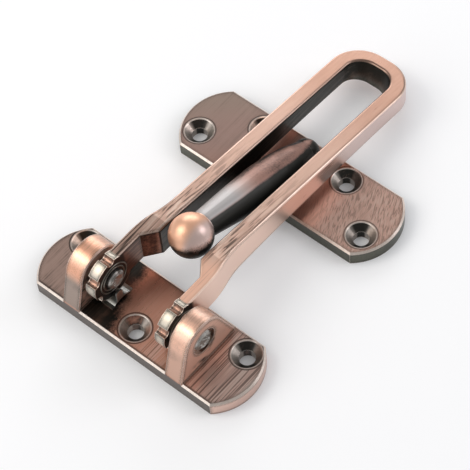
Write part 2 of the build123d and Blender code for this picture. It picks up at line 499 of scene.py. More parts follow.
def total(zones: list[Zone], what: str, start: "Signal | float" = 0.0) -> "Signal | float":
    """Adds up one number of the zones, each as far as its mask goes.

    Args:
        zones: the zones.
        what: the number's field.
        start: what the surface has outside the zones.

    Returns:
        The sum.
    """
    for zone in zones:
        share = getattr(zone, what)
        if isinstance(share, Signal) or share != 0.0:
            start = start + zone.mask * share
    return start


class CopperSurface:
    """The graph of one copper piece: where a point lies, how it faces, and its brush marks."""

    def __init__(self, finish: AntiqueCopper) -> None:
        """Makes the signals.

        Args:
            finish: the colours and scales to use.
        """
        self.finish = finish
        self.graph = graph = ShaderGraph(finish.name)
        self.x, self.y, self.z = (axis / MM for axis in graph.axes("Object"))
        self.facing_x, self.facing_y, self.facing_z = graph.axes("Normal")
        self.coarse = graph.noise(finish.coarse)
        self.fine = graph.noise(finish.fine)
        self.blotches = graph.noise(finish.blotches)
        self.grain = graph.noise(finish.grain)
        self.lines = graph.noise(finish.lines)
        self.edge = graph.edge(finish.wear_and_highlight_reach * MM)
        self.outline = graph.edge(finish.outline_reach * MM).ramp(*finish.outline_nearness)
        self.open = graph.openness(finish.recess_reach * MM)
        by_blotches, by_grain = finish.raggedness
        self.ragged = self.blotches.swing() * by_blotches + self.grain.swing() * by_grain
        self.upward = self.facing_z.ramp(*UPWARD_FACING)
        leaving_side, reaching_top = (self.facing_z.ramp(*span) for span in ARRIS_FACING)
        self.arris = leaving_side * reaching_top

    def facing(self, direction: Point) -> Signal:
        """How far the surface faces a fixed direction of the piece, from -1 to 1."""
        x, y, z = direction
        return self.facing_x * x + self.facing_y * y + self.facing_z * z

    def distance(self, first: Signal, second: Signal) -> Signal:
        """Length of a flat vector of two signals."""
        return self.graph.math("SQRT", first * first + second * second)

    def from_holes(self, holes: tuple[Spot, ...]) -> Signal:
        """Distance from the axis of the nearest of several round holes.

        Args:
            holes: their places; both signs of each X count.

        Returns:
            The distance.
        """
        nearest, *others = (self.distance(abs(self.x) - x, self.y - y) for x, y in holes)
        for other in others:
            nearest = self.graph.math("MINIMUM", nearest, other)
        return nearest

    def countersink_glint(self, sunk: Signal) -> Signal:
        """Painted reflection: two bright sectors in a countersink, where its cone faces a fixed direction.

        Args:
            sunk: 1 inside the countersinks.

        Returns:
            The mask.
        """
        look = self.finish
        sector = abs(self.facing(look.painted_glint_direction)).ramp(*look.painted_glint_facing)
        return sunk * sector * (0.4 + self.blotches * 0.6)

    def ragged_spot(self, x: float, y: float, radius: float) -> Signal:
        """1 in the middle of a round dark patch with a ragged, fading edge.

        Args:
            x: the patch's place.
            y: the patch's place.
            radius: where it has faded away.

        Returns:
            The mask.
        """
        core = radius * 0.45
        return (self.distance(self.x - x, self.y - y) + self.ragged).ramp(radius, core)

    def tint(self, zones: list[Zone], ground: Hue) -> Hue:
        """Lays the zones' colours over each other.

        Args:
            zones: the zones, in the order in which their colours are laid on.
            ground: the colour under them all.

        Returns:
            The resulting colour.
        """
        for zone in zones:
            if zone.colour is not None:
                ground = self.graph.mix(zone.mask, ground, zone.colour)
        return ground

    def brushed(self, bare: Signal, streak: Signal, tint: Hue, tinted: Signal) -> Hue:
        """The plating's colour before lines, recesses and worn edges.

        Args:
            bare: how far the copper is brushed bare.
            streak: the soft brush marks.
            tint: a colour that takes over in places.
            tinted: where it does.

        Returns:
            The colour.
        """
        graph, look = self.graph, self.finish
        shown = graph.mix(bare.ramp(*look.copper_from), look.brown, look.copper)
        shown = graph.mix((bare + streak * 0.4).ramp(*look.bright_from), shown, look.bright)
        darker = graph.mix(bare.ramp(*look.tint_from), look.patina, tint)
        shown = graph.mix(tinted, shown, darker)
        return graph.mix(bare.ramp(*look.plating_from), look.patina, shown)

    def dress(
        self,
        zones: list[Zone],
        ground: Hue,
        rubbed: float,
        streaks: float,
        lined: Signal,
        bare_lines_and_highlights: Signal,
        inked: Signal,
        plain_edges: "Signal | float" = 0.0,
    ) -> bpy.types.Material:
        """Turns the zones and masks into the finished material.

        Args:
            zones: what differs from place to place.
            ground: the tint where no zone gives another.
            rubbed: how far the copper is brushed bare outside the zones, from 0 to 1.
            streaks: strength of the soft brush marks outside the zones.
            lined: strength of the thin dark and light lines that a coarse brush leaves.
            bare_lines_and_highlights: where an edge or rim is painted light metal, for wear and as a painted
                highlight.
            inked: where a dark line has stayed beside an edge.
            plain_edges: where an edge gets neither the wear nor the painted highlight.

        Returns:
            The material.
        """
        graph, look = self.graph, self.finish
        by_fine, by_coarse = look.streak_shares
        streak = self.fine.swing() * by_fine + self.coarse.swing() * by_coarse
        streak = streak * total(zones, "streaks", streaks)
        bare = total(zones, "rubbed", rubbed) + streak * look.bare_by_streak
        bare = (bare + self.blotches.swing() * look.bare_by_blotches).clamped()
        tinted = total(zones, "shown").clamped()
        satin = total(zones, "satin")
        shown = self.brushed(bare, streak, self.tint(zones, ground), tinted)
        clustered = self.blotches.ramp(*look.cluster_blotches) * lined
        light = self.lines.ramp(*look.light_lines) * clustered
        shown = graph.mix(light * look.light_line_strength, shown, look.wear_and_highlight)
        ink = self.lines.ramp(*look.dark_lines) * clustered | inked
        shown = graph.mix(ink * look.ink_strength, shown, look.patina)
        recess = self.open.ramp(*look.recess_openness)
        shown = graph.mix(recess * look.recess_strength, shown, look.patina)
        # Edges and rims painted light metal, partly for wear and partly as painted highlight.
        scuffs_and_highlights = (self.edge * look.wear_and_highlight_strength | bare_lines_and_highlights) * (1.0 - plain_edges)
        scuffs_and_highlights = scuffs_and_highlights * self.open.ramp(*look.wear_and_highlight_openness)
        scuffs_and_highlights = scuffs_and_highlights * (0.30 + self.grain * 0.5 + self.coarse * 0.4)
        shown = graph.mix(scuffs_and_highlights.clamped(), shown, look.wear_and_highlight)
        relief = self.fine * 0.75 + self.grain * 0.25 - ink
        dulled = recess * 0.14 + (1.0 - bare) * 0.08 + satin * 0.1
        return graph.finish(
            Base_Color=shown,
            Metallic=look.metallic - (satin * look.metallic_loss).clamped(),
            Roughness=(look.roughness + self.fine.swing() * 0.2 + dulled).clamped(),
            Normal=graph.bump(relief, look.relief_depth * MM),
            Coat_Weight=look.coat,
            Coat_Roughness=look.coat_roughness,
        )


@dataclass(frozen=True)
class Steel:
    """Dull or bright steel with fine turned marks."""

    name: str
    light: Colour
    dark: Colour
    roughness: float = 0.34
    marks: Texture = Texture((900.0, 2600.0, 1560.0), 3.0, 0.7)
    blots: Texture = Texture((420.0, 420.0, 420.0), 3.0, 0.6, (1.0, 2.0, 3.0))
    recess_reach: float = 1.2
    recess_openness: Span = (0.75, 0.2)
    recess_strength: float = 0.8
    wear_and_highlight_reach: float = 0.25
    wear_and_highlight_strength: float = 0.6
    relief_depth: float = 0.02

    def material(self) -> bpy.types.Material:
        """The steel's material: stained metal, darker in its recesses and lighter on its edges.

        Returns:
            The material.
        """
        graph = ShaderGraph(self.name)
        marks, blots = graph.noise(self.marks), graph.noise(self.blots)
        recess = graph.openness(self.recess_reach * MM).ramp(*self.recess_openness)
        edge = graph.edge(self.wear_and_highlight_reach * MM)
        shade = (marks * 0.7 + blots * 0.6 - 0.15).clamped()
        colour = graph.mix(shade, self.dark, self.light)
        colour = graph.mix(recess * self.recess_strength, colour, self.dark)
        # Lighter edges: wear, and a painted highlight along them.
        colour = graph.mix(edge * self.wear_and_highlight_strength, colour, self.light)
        return graph.finish(
            Base_Color=colour,
            Metallic=1.0,
            Roughness=(self.roughness + blots.swing() * 0.25).clamped(),
            Normal=graph.bump(marks, self.relief_depth * MM),
        )


@dataclass(frozen=True)
class StudioPaper:
    """The pale seamless floor."""

    name: str = "studio_paper"
    colour: Colour = (0.79, 0.80, 0.82)
    roughness: float = 0.6
    lift: float = 0.34
    shade_reach: float = 11.0

    def material(self) -> bpy.types.Material:
        """Matt paper, lifted a little where it is seen directly, mirrored or through glass.

        Returns:
            The material.
        """
        graph = ShaderGraph(self.name)
        path = graph.node("ShaderNodeLightPath")
        direct, mirrored, through = (
            Signal(graph, path.outputs[f"Is {kind} Ray"]) for kind in ("Camera", "Glossy", "Transmission")
        )
        paper_inputs = {"Color": self.colour, "Roughness": self.roughness}
        paper = graph.node("ShaderNodeBsdfDiffuse", inputs=paper_inputs)
        unshaded = graph.openness(self.shade_reach * MM, own_piece_only=False)
        lift = (direct | mirrored | through) * self.lift * unshaded
        glow = graph.node("ShaderNodeEmission", inputs={"Color": grey(1.0), "Strength": lift})
        both = graph.node("ShaderNodeAddShader", inputs={0: paper.outputs[0], 1: glow.outputs[0]})
        graph.node("ShaderNodeOutputMaterial", inputs={"Surface": both.outputs[0]})
        return graph.material


# Geometry recipes


class Recipe:
    """A Geometry Nodes tree that makes one kind of repeated detail."""

    def __init__(self, name: str, sizes: dict[str, float | int]) -> None:
        """Starts a tree with its named inputs.

        Args:
            name: the tree's name.
            sizes: each input's default, a whole number for a count or a seed.
        """
        self.tree = bpy.data.node_groups.new(name, "GeometryNodeTree")
        self.sockets = {}
        self.tree.interface.new_socket("Geometry", in_out="OUTPUT", socket_type="NodeSocketGeometry")
        for key, value in sizes.items():
            kind = "NodeSocketInt" if isinstance(value, int) else "NodeSocketFloat"
            self.add_input(key, kind).default_value = value
        for key in ("Rotation", "Place"):
            self.add_input(key, "NodeSocketVector")
        self.add_input("Finish", "NodeSocketMaterial")
        self.inlet = self.tree.nodes.new("NodeGroupInput")

    def add_input(self, key: str, kind: str) -> bpy.types.NodeTreeInterfaceSocket:
        """Adds a named input of that kind to the tree."""
        self.sockets[key] = self.tree.interface.new_socket(key, in_out="INPUT", socket_type=kind)
        return self.sockets[key]

    def size(self, key: str) -> bpy.types.NodeSocket:
        """The socket of a named input."""
        return self.inlet.outputs[key]

    def node(
        self, kind: str, settings: dict | None = None, inputs: dict | None = None
    ) -> bpy.types.NodeSocket:
        """Makes one node, with the arguments of add_node.

        Returns:
            The node's first visible output.
        """
        made = add_node(self.tree, kind, settings, inputs)
        return next(output for output in made.outputs if output.enabled)

    def math(self, operation: str, *values: "bpy.types.NodeSocket | float") -> bpy.types.NodeSocket:
        """One Math node of that operation."""
        return self.node("ShaderNodeMath", {"operation": operation}, dict(enumerate(values)))

    def vector(self, *parts: "bpy.types.NodeSocket | float") -> bpy.types.NodeSocket:
        """A vector of three numbers."""
        return self.node("ShaderNodeCombineXYZ", inputs=dict(enumerate(parts)))

    def circle(self, resolution: int, radius: "bpy.types.NodeSocket | float") -> bpy.types.NodeSocket:
        """A round curve about Z of that many points and that radius in metres."""
        inputs = {"Resolution": resolution, "Radius": radius}
        return self.node("GeometryNodeCurvePrimitiveCircle", inputs=inputs)

    def drawn(self, span: Span, salt: int) -> bpy.types.NodeSocket:
        """A number drawn for each point, the same in each run.

        Args:
            span: the least and the greatest value.
            salt: what this draw adds to the tree's seed.

        Returns:
            The number.
        """
        seed = self.math("ADD", self.size("Seed"), salt)
        inputs = {2: span[0], 3: span[1], "Seed": seed}
        return self.node("FunctionNodeRandomValue", {"data_type": "FLOAT"}, inputs)

    def finish(self, geometry: bpy.types.NodeSocket) -> None:
        """Turns, places and realizes the geometry, and gives it its finish.

        Args:
            geometry: what the tree has made about its own Z axis.
        """
        placing = {"Rotation": self.size("Rotation"), "Translation": self.size("Place")}
        placed = self.node("GeometryNodeTransform", inputs={"Geometry": geometry, **placing})
        real = self.node("GeometryNodeRealizeInstances", inputs={"Geometry": placed})
        smooth = self.node("GeometryNodeSetShadeSmooth", inputs={"Geometry": real})
        dressing = {"Geometry": smooth, "Material": self.size("Finish")}
        dressed = self.node("GeometryNodeSetMaterial", inputs=dressing)
        outlet = self.tree.nodes.new("NodeGroupOutput")
        self.tree.links.new(dressed, outlet.inputs[0])

    def make(self, name: str, values: dict[str, object]) -> bpy.types.Object:
        """Runs the tree into a plain mesh object.

        Args:
            name: the piece's name.
            values: inputs by name.

        Returns:
            The new piece, with no modifier left.
        """
        piece = bpy.data.objects.new(name, bpy.data.meshes.new(name))
        bpy.context.scene.collection.objects.link(piece)
        modifier = piece.modifiers.new(self.tree.name, "NODES")
        modifier.node_group = self.tree
        for key, value in values.items():
            modifier[self.sockets[key].identifier] = value
        evaluated = piece.evaluated_get(bpy.context.evaluated_depsgraph_get())
        mesh = bpy.data.meshes.new_from_object(evaluated)
        piece.modifiers.clear()
        piece.data = mesh
        mesh.name = name
        return piece


# Dressing and placing pieces


def attach(piece: bpy.types.Object, body: Body) -> None:
    """Makes a piece ride on a body.

    Args:
        piece: the finished piece.
        body: the body that carries it.
    """
    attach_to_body(piece, body.value)
    LOG.info("%s: %d faces, rides on %s", piece.name, len(piece.data.polygons), body.value)


def dress_node(name: str, material: bpy.types.Material) -> None:
    """Gives a carried-over solid its finish.

    Args:
        name: the solid's node.
        material: its finish.
    """
    data = frame["nodes"][name].data
    data.materials.clear()
    data.materials.append(material)
    LOG.info("%s: finish %s", name, material.name)


def on_pivot(side: Side, x: float) -> Point:
    """A place in metres on the bar's pivot, on one side of the guard."""
    return (side.value * x * MM, PIVOT_Y * MM, PIVOT_Z * MM)


# Copper castings


@dataclass
class Casting:
    """A copper casting carried over from the solids."""

    finish: AntiqueCopper
    node: str = ""

    def paint(self) -> bpy.types.Material:
        """The casting's own finish; each kind of casting has one."""
        raise NotImplementedError

    def build(self) -> None:
        """Dresses the solid."""
        dress_node(self.node, self.paint())


@dataclass(frozen=True)
class Countersinks:
    """Masks of a plate's holes: the cones, their sharp rims and the dark rings around them."""

    sunk: Signal
    rims: Signal
    halos: Signal


@dataclass
class Plate(Casting):
    """A casting with a flat plate and countersunk holes."""

    top: float = 5.5
    screws: tuple[str, ...] = ()
    countersink_radius: float = 5.0
    halo_offset: float = 0.5

    def flat_part(self, s: CopperSurface) -> Signal:
        """1 on the plate, 0 on what stands on it."""
        return s.z.step_at(self.top, PLATE_FADE)

    def countersinks(self, s: CopperSurface, plate: Signal) -> Countersinks:
        """Finds the plate's holes.

        Args:
            s: the casting's surface.
            plate: 1 on the plate.

        Returns:
            Their masks.
        """
        radius = self.countersink_radius
        reach = s.from_holes(tuple(screw_place(mount) for mount in self.screws))
        halos = abs(reach - (radius + self.halo_offset)).ramp(*RING_WIDTHS)
        return Countersinks(
            sunk=reach.step_at(radius, COUNTERSINK_FADE) * plate,
            rims=abs(reach - radius).ramp(*RING_WIDTHS) * plate,
            halos=halos * plate * s.upward,
        )


@dataclass(frozen=True)
class BaseParts:
    """Masks of the hinge base's parts: the plate, its upward face, crowns, slopes, and painted shade with
    patina under the hubs.
    """

    plate: Signal
    flat: Signal
    crown: Signal
    slope: Signal
    blots: Signal
    holes: Countersinks


@dataclass
class HingeBase(Plate):
    """Plate with two ears."""

    node: str = "hinge_base"
    screws: tuple[str, ...] = ("hinge_base_outer_screws", "hinge_base_middle_screw")
    halo_offset: float = 0.55
    ear_inner_x: float = 17.7
    ear_fade: Span = (0.3, 0.0)
    seam_y: Span = (-11.95, -12.25)
    wall_heights: Span = (5.7, 5.1)
    crown_heights: Span = (15.0, 20.0)
    # Painted shade on the ear crowns: a dark band where each crown meets its slope, and the crown's back.
    brow_shade_heights: Span = (11.0, 14.0)
    brow_shade_facing: tuple[Span, Span] = ((-0.70, -0.82), (-0.995, -0.93))
    slope_facing: Span = (-0.55, -0.9)
    end_wall_facing: Span = (0.1, 0.6)
    shaded_back_facing_y: Span = (-0.42, 0.05)
    shaded_back_facing_x: Span = (0.6, 0.4)
    patch_blotches: Span = (0.56, 0.38)
    left_end_x: Span = (-20.0, -27.0)
    right_end_x: Span = (20.0, 27.0)
    middle_x: Span = (17.0, 12.0)
    lined_middle_x: Span = (4.0, 10.0)
    side_change_x: Span = (0.0, 10.0)
    # Painted shade with patina under the hubs: the left patch ends at a leaning line, the right one is
    # round.
    left_hub_shade_x: float = -10.1
    left_hub_shade_lean: float = 0.227
    left_hub_shade_fade: Span = (4.0, -1.0)
    right_hub_shade: Point = (16.5, -2.5, 7.5)
    right_hub_shade_strength: float = 0.6
    ear_colour: Colour = (0.90, 0.48, 0.32)
    right_ear_colour: Colour = (0.97, 0.60, 0.45)
    middle_colour: Colour = (0.88, 0.41, 0.285)
    slope_colour: Colour = (0.39, 0.305, 0.26)
    right_slope_colour: Colour = (0.68, 0.43, 0.33)
    face_colour: Colour = (0.78, 0.48, 0.37)
    end_colour: Colour = (0.455, 0.33, 0.283)
    right_end_colour: Colour = (0.67, 0.48, 0.42)
    wall_colour: Colour = (0.148, 0.120, 0.106)
    end_wall_colour: Colour = (0.74, 0.52, 0.44)

    def hub_shade_and_patina(self, s: CopperSurface) -> Signal:
        """The dark ragged patches under the hubs: painted shade, with patina where the brush does not reach.

        Args:
            s: the base's surface.

        Returns:
            The mask.
        """
        leaning = s.x + s.y * self.left_hub_shade_lean + s.ragged - self.left_hub_shade_x
        left = leaning.ramp(*self.left_hub_shade_fade)
        right = s.ragged_spot(*self.right_hub_shade) * self.right_hub_shade_strength
        return (left | right) * abs(s.x).step_at(self.ear_inner_x, self.ear_fade)

    def parts(self, s: CopperSurface) -> BaseParts:
        """Finds the base's parts on its surface.

        Args:
            s: the base's surface.

        Returns:
            Their masks.
        """
        plate = self.flat_part(s)
        flat = plate * s.upward
        return BaseParts(
            plate=plate,
            flat=flat,
            crown=s.z.ramp(*self.crown_heights),
            slope=s.facing_y.ramp(*self.slope_facing) * (1.0 - plate),
            blots=self.hub_shade_and_patina(s) * flat,
            holes=self.countersinks(s, plate),
        )

    def zones(self, s: CopperSurface, on: BaseParts) -> list[Zone]:
        """What differs over the base.

        Args:
            s: the base's surface.
            on: its parts.

        Returns:
            The zones, in the order in which their colours are laid on.
        """
        wall = s.facing_z.ramp(*WALL_FACING) * s.z.ramp(*self.wall_heights)
        to_right = s.x.ramp(*self.side_change_x)
        slope_tint = s.graph.mix(to_right, self.slope_colour, self.right_slope_colour)
        ear_tint = s.graph.mix(to_right, self.ear_colour, self.right_ear_colour)
        at_end = s.facing_x.ramp(*self.end_wall_facing)
        wall_tint = s.graph.mix(at_end, self.wall_colour, self.end_wall_colour)
        # Painted shade: the crowns' backs, turned away from the lights, and a band where each crown meets
        # its slope.
        back = s.facing_y.ramp(*self.shaded_back_facing_y) * s.facing_x.ramp(*self.shaded_back_facing_x)
        below_crown, above_front = (s.facing_y.ramp(*span) for span in self.brow_shade_facing)
        brow_shade = below_crown * above_front * s.z.ramp(*self.brow_shade_heights)
        patches = s.blotches.ramp(*self.patch_blotches) * 0.45 + s.fine.swing() * 0.4
        return [
            Zone(s.upward, rubbed=0.08),
            Zone(on.plate, streaks=0.55),
            Zone(
                on.plate * abs(s.x).ramp(*self.middle_x),
                shown=0.75,
                rubbed=0.15 + s.blotches.swing() * 0.8,
                streaks=-0.5,
                lined=s.x.ramp(*self.lined_middle_x) * 0.5 - 0.24,
            ),
            Zone(on.crown + on.slope, slope_tint, shown=1.0),
            Zone(on.crown, ear_tint, rubbed=0.3, satin=0.5),
            Zone(on.slope, rubbed=0.15, satin=1.0),
            Zone(wall, wall_tint, shown=1.0, rubbed=0.2, streaks=-0.5),
            Zone(
                on.flat * s.x.ramp(*self.left_end_x),
                self.end_colour,
                shown=0.8,
                rubbed=(s.fine + s.blotches) * 0.55 - 0.68,
                lined=-0.25,
            ),
            Zone(
                on.flat * s.x.ramp(*self.right_end_x),
                self.right_end_colour,
                shown=0.8,
                lined=0.42,
            ),
            Zone(
                s.facing_x.ramp(*SIDEWAYS_FACING) * (1.0 - on.plate),
                self.face_colour,
                shown=1.0,
                rubbed=-1.0 * patches,
                satin=1.5,
            ),
            # Painted shade with patina under the hubs.
            Zone(on.blots, rubbed=-0.6),
            Zone(on.holes.sunk, rubbed=-0.62),
            # Painted shade on the crowns' backs and on the band above the slopes.
            Zone(on.crown * back, rubbed=-0.30 - s.fine * 0.5),
            Zone(brow_shade, rubbed=-0.45),
        ]

    def paint(self) -> bpy.types.Material:
        """Copper plate, warm ear tops, pale slopes, painted shade with patina under the hubs and painted
        shade on the crowns.

        Returns:
            The material.
        """
        s = self.finish.start()
        on = self.parts(s)
        zones = self.zones(s, on)
        untouched = 1.0 - on.holes.sunk
        # Painted reflection: bright sectors painted in the countersinks.
        painted_glint = s.countersink_glint(on.holes.sunk)
        # Edges and rims painted light, for wear and as painted highlights.
        bare_lines_and_highlights = on.holes.rims * 0.8 + s.arris * untouched * (1.0 - on.slope) + painted_glint * 0.9
        seam = s.y.ramp(*self.seam_y) * on.flat
        return s.dress(
            zones,
            ground=self.middle_colour,
            rubbed=0.58,
            streaks=0.45,
            lined=total(zones, "lined", 0.30) * on.flat * untouched + on.crown * 0.15,
            bare_lines_and_highlights=bare_lines_and_highlights.clamped() * (1.0 - on.crown * 0.8),
            # Dark lines beside edges, and painted shade with patina under the hubs.
            inked=(s.outline | seam) * 0.8 | on.blots | on.holes.halos * 0.95,
        )


@dataclass
class Keeper(Plate):
    """Plate with the horn-shaped post and its ball."""

    node: str = "keeper"
    top: float = 5.3
    screws: tuple[str, ...] = ("keeper_outer_screws", "keeper_inner_screws")
    wall_heights: Span = (5.1, 4.6)
    ball_centre: Point = (0.0, 22.2, 23.0)
    ball_radius: float = 7.3
    ball_fade: Span = (0.25, 0.05)
    # Painted shade on the ball: darker in its lower half and on the side facing this direction, speckled
    # with patina.
    ball_shade_heights: Span = (3.4, -1.4)
    ball_shade_direction: Point = (0.815, -0.239, -0.501)
    ball_shade_facing: Span = (-0.15, 0.7)
    underside_grain: Span = (0.50, 0.64)
    # Painted reflection: the ball's right side tinted pinkish grey.
    ball_reflection_facing: Span = (0.15, 0.55)
    # Painted shade: the horn's right side, dark where polished metal would mirror the dark slot wall.
    flank_shade_facing: Span = (0.42, 0.68)
    shaded_facing: Span = (-0.25, -0.60)
    tail_y: Span = (40.0, 54.0)
    # Painted shade on the tail's outer edges, which narrows the lit part of the tail to a point.
    tail_start: Spot = (6.4, 58.0)
    tail_taper: float = 0.27
    tail_edge_shade_fade: Span = (-0.6, 1.0)
    corner_start: float = 70.0
    russet_corner: Span = (22.0, 0.0)
    olive_corner: Span = (26.0, 50.0)
    pink_x: Span = (-10.0, 12.0)
    lined_x: Span = (6.0, 24.0)
    wall_colour: Colour = (0.12, 0.12, 0.095)
    mauve: Colour = (0.385, 0.28, 0.252)
    olive: Colour = (0.31, 0.272, 0.235)
    russet: Colour = (0.42, 0.245, 0.205)
    pink: Colour = (0.76, 0.50, 0.415)
    ridge_colour: Colour = (0.485, 0.462, 0.458)
    tail_colour: Colour = (0.30, 0.17, 0.146)
    flank_shade_colour: Colour = (0.035, 0.031, 0.027)
    ball_colour: Colour = (0.90, 0.52, 0.35)
    ball_reflection_colour: Colour = (0.74, 0.56, 0.51)

    def on_ball(self, s: CopperSurface) -> Signal:
        """1 on the ball, 0 on the horn and the plate."""
        _, centre_y, centre_z = self.ball_centre
        reach = s.distance(s.distance(s.x, s.y - centre_y), s.z - centre_z)
        return reach.step_at(self.ball_radius, self.ball_fade)

    def plate_tint(self, s: CopperSurface) -> Hue:
        """The plate's colour: russet, mauve and olive towards the left end, pink at the right.

        Args:
            s: the keeper's surface.

        Returns:
            The colour.
        """
        mix = s.graph.mix
        corner = s.y - s.x - self.corner_start
        left = mix(corner.ramp(*self.olive_corner), self.mauve, self.olive)
        left = mix(corner.ramp(*self.russet_corner), left, self.russet)
        return mix(s.x.ramp(*self.pink_x), left, self.pink)

    def zones(self, s: CopperSurface, plate: Signal, ball: Signal, sunk: Signal) -> list[Zone]:
        """What differs over the keeper.

        Args:
            s: the keeper's surface.
            plate: 1 on the plate.
            ball: 1 on the ball.
            sunk: 1 inside the countersinks.

        Returns:
            The zones, in the order in which their colours are laid on.
        """
        wall = s.facing_z.ramp(*WALL_FACING) * s.z.ramp(*self.wall_heights)
        horn = (1.0 - plate) * (1.0 - ball) * (1.0 - wall)
        # Painted shade on the horn's right side.
        flank_shade = s.facing_x.ramp(*self.flank_shade_facing) * horn
        tail = s.y.ramp(*self.tail_y) * horn
        ridge = horn * (1.0 - tail) * (1.0 - flank_shade)
        # Painted shade: the tail's outer edges darkened like the shaded plate beside them.
        tail_x, tail_y = self.tail_start
        tail_edge_shade = abs(s.x) - (tail_x - (s.y - tail_y) * self.tail_taper)
        speckle = s.grain.swing() * 1.3 + s.blotches.swing() * 0.9 - 0.12
        # Painted shade: the ball darker under its middle and towards its underside, speckled with patina.
        lower_shade = s.z.step_at(self.ball_centre[2], self.ball_shade_heights)
        lower_shade = lower_shade * (0.42 + s.grain * 0.5)
        underside_shade = s.facing(self.ball_shade_direction).ramp(*self.ball_shade_facing)
        underside_shade = underside_shade * (0.20 + s.grain.ramp(*self.underside_grain) * 0.30)
        # Painted reflection: pinkish grey on the side of the ball that faces right.
        ball_reflection = s.facing_x.ramp(*self.ball_reflection_facing)
        return [
            Zone(plate, shown=0.75, rubbed=s.upward * 0.06, streaks=0.45),
            Zone(
                ball,
                s.graph.mix(ball_reflection, self.ball_colour, self.ball_reflection_colour),
                shown=1.0,
                rubbed=0.28 + speckle * 0.6 - lower_shade - underside_shade,
                streaks=-0.3,
                satin=0.9,
            ),
            Zone(tail, self.tail_colour, shown=0.7, rubbed=speckle * 0.3),
            Zone(ridge, self.ridge_colour, shown=1.0, rubbed=0.36),
            Zone(flank_shade, self.flank_shade_colour, shown=1.0, rubbed=-0.70),
            Zone(wall, self.wall_colour, shown=1.0, rubbed=-0.05),
            Zone(horn, satin=1.8),
            Zone(s.facing_x.ramp(*self.shaded_facing) * horn, rubbed=-0.25, streaks=0.9),
            Zone(tail_edge_shade.ramp(*self.tail_edge_shade_fade) * tail, rubbed=-0.45),
            Zone(sunk, rubbed=-0.5),
        ]

    def paint(self) -> bpy.types.Material:
        """Mauve brushed plate, dark walls, a grey ridge on the horn with painted shade on its right side and
        tail edges, and a polished ball with a painted reflection and painted shade on its lower half.

        Returns:
            The material.
        """
        s = self.finish.start()
        plate = self.flat_part(s)
        ball = self.on_ball(s)
        holes = self.countersinks(s, plate)
        untouched = 1.0 - holes.sunk
        # Edges and rims painted light for wear and as painted highlights; painted reflection in the
        # countersinks.
        bare_lines_and_highlights = holes.rims * 0.8 + s.arris * untouched + s.countersink_glint(holes.sunk) * 0.9
        return s.dress(
            self.zones(s, plate, ball, holes.sunk),
            ground=self.plate_tint(s),
            rubbed=0.52,
            streaks=0.45,
            lined=plate * s.x.ramp(*self.lined_x) * untouched * s.upward * 0.42,
            bare_lines_and_highlights=bare_lines_and_highlights.clamped() * plate,
            inked=s.outline * (1.0 - ball) * 0.6 | holes.halos * 0.8,
        )


@dataclass(frozen=True)
class BarParts:
    """Masks of the bar's parts: its walls, the hubs, where the brush has been, and a painted highlight near
    the right hub.
    """

    wall: Signal
    inner: Signal
    end_wall: Signal
    mouth: Signal
    hub: Signal
    hub_side: Signal
    rim: Signal
    arm: Signal
    near_hub: Signal
    right_hub_sheen: Signal


